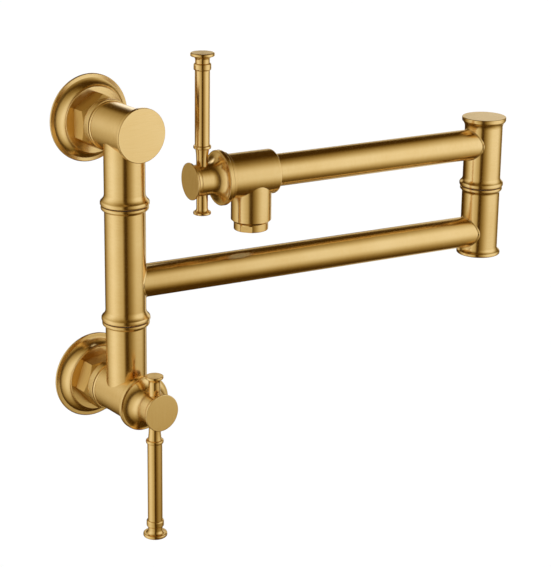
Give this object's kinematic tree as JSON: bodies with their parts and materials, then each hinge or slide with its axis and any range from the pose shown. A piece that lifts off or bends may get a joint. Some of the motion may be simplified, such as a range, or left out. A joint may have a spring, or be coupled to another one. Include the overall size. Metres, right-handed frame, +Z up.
{
  "type": "wall mounted pot filler",
  "caption": "Folding kitchen tap with upright column, stacked swivel arms, elbow joint and a quarter-turn lever valve at the wall and at the spout, in brushed gold.",
  "frame": {"origin": "centre of the lower wall connection, in the plane of the wall", "axes": "+Y into the wall, +X to the right as seen from the room, +Z up; the wall is the plane Y = 0"},
  "size_m": [0.3345, 0.122, 0.3289],
  "materials": {
    "brushed_gold": "brushed gold plating on turned brass",
    "bare_brass": "machined",
    "black_rubber": "matt",
    "dark_nylon": "matt",
    "ceramic": "lapped",
    "steel": "machined",
    "white_plastic": "moulded"
  },
  "bodies": {
    "root": {"lower_wall_nipple": "bare_brass", "upper_wall_nipple": "bare_brass", "lower_escutcheon": "brushed_gold", "upper_escutcheon": "brushed_gold", "lower_union_nut": "brushed_gold", "upper_union_nut": "brushed_gold", "lower_union_gasket": "black_rubber", "upper_union_gasket": "black_rubber", "lower_valve_body": "brushed_gold", "upper_column_body": "brushed_gold", "upper_end_cap": "brushed_gold", "column_spindle": "bare_brass", "column_o_rings": "black_rubber", "column_slip_rings": "dark_nylon", "lower_cartridge": "bare_brass", "lower_cartridge_seal": "black_rubber", "lower_fixed_disc": "ceramic", "lower_stem_o_ring": "black_rubber"},
    "lower_lever": {"lower_turning_disc": "ceramic", "lower_valve_stem": "bare_brass", "lower_lever_hub": "brushed_gold", "lower_lever_handle": "brushed_gold", "lower_lever_stub": "brushed_gold", "lower_hub_screw": "steel", "lower_hub_cap": "brushed_gold"},
    "arm_1": {"column_sleeve": "brushed_gold", "first_arm_tube": "brushed_gold", "elbow_lower_barrel": "brushed_gold", "elbow_bottom_plug": "brushed_gold", "elbow_spindle": "bare_brass", "elbow_o_rings": "black_rubber", "elbow_slip_ring": "dark_nylon", "elbow_retaining_nut": "bare_brass"},
    "arm_2": {"elbow_upper_barrel": "brushed_gold", "elbow_top_cap": "brushed_gold", "second_arm_tube": "brushed_gold", "outlet_body": "brushed_gold", "outlet_cartridge": "bare_brass", "outlet_cartridge_seal": "black_rubber", "outlet_fixed_disc": "ceramic", "outlet_stem_o_ring": "black_rubber", "aerator_ring": "brushed_gold", "aerator_washer": "black_rubber", "aerator_insert": "white_plastic"},
    "outlet_lever": {"outlet_turning_disc": "ceramic", "outlet_valve_stem": "bare_brass", "outlet_lever_hub": "brushed_gold", "outlet_lever_handle": "brushed_gold", "outlet_lever_stub": "brushed_gold", "outlet_hub_screw": "steel", "outlet_hub_cap": "brushed_gold"}
  },
  "joints": [
    {"name": "column_swivel", "type": "hinge", "parent": "root", "child": "arm_1", "pos_m": [0, -0.0452, 0.08], "axis": [0, 0, -1], "range_deg": [-8.8, 171.2]},
    {"name": "elbow_swivel", "type": "hinge", "parent": "arm_1", "child": "arm_2", "pos_m": [0.28757, -0.08972, 0.1474], "axis": [0, 0, 1], "range_deg": [-180, 180]},
    {"name": "lower_lever_turn", "type": "hinge", "parent": "root", "child": "lower_lever", "pos_m": [0, -0.0743, 0], "axis": [0, -1, 0], "range_deg": [0, 90]},
    {"name": "outlet_lever_turn", "type": "hinge", "parent": "arm_2", "child": "outlet_lever", "pos_m": [0.06926, -0.06098, 0.1474], "axis": [0.9914, -0.1305, 0], "range_deg": [0, 90]}
  ]
}
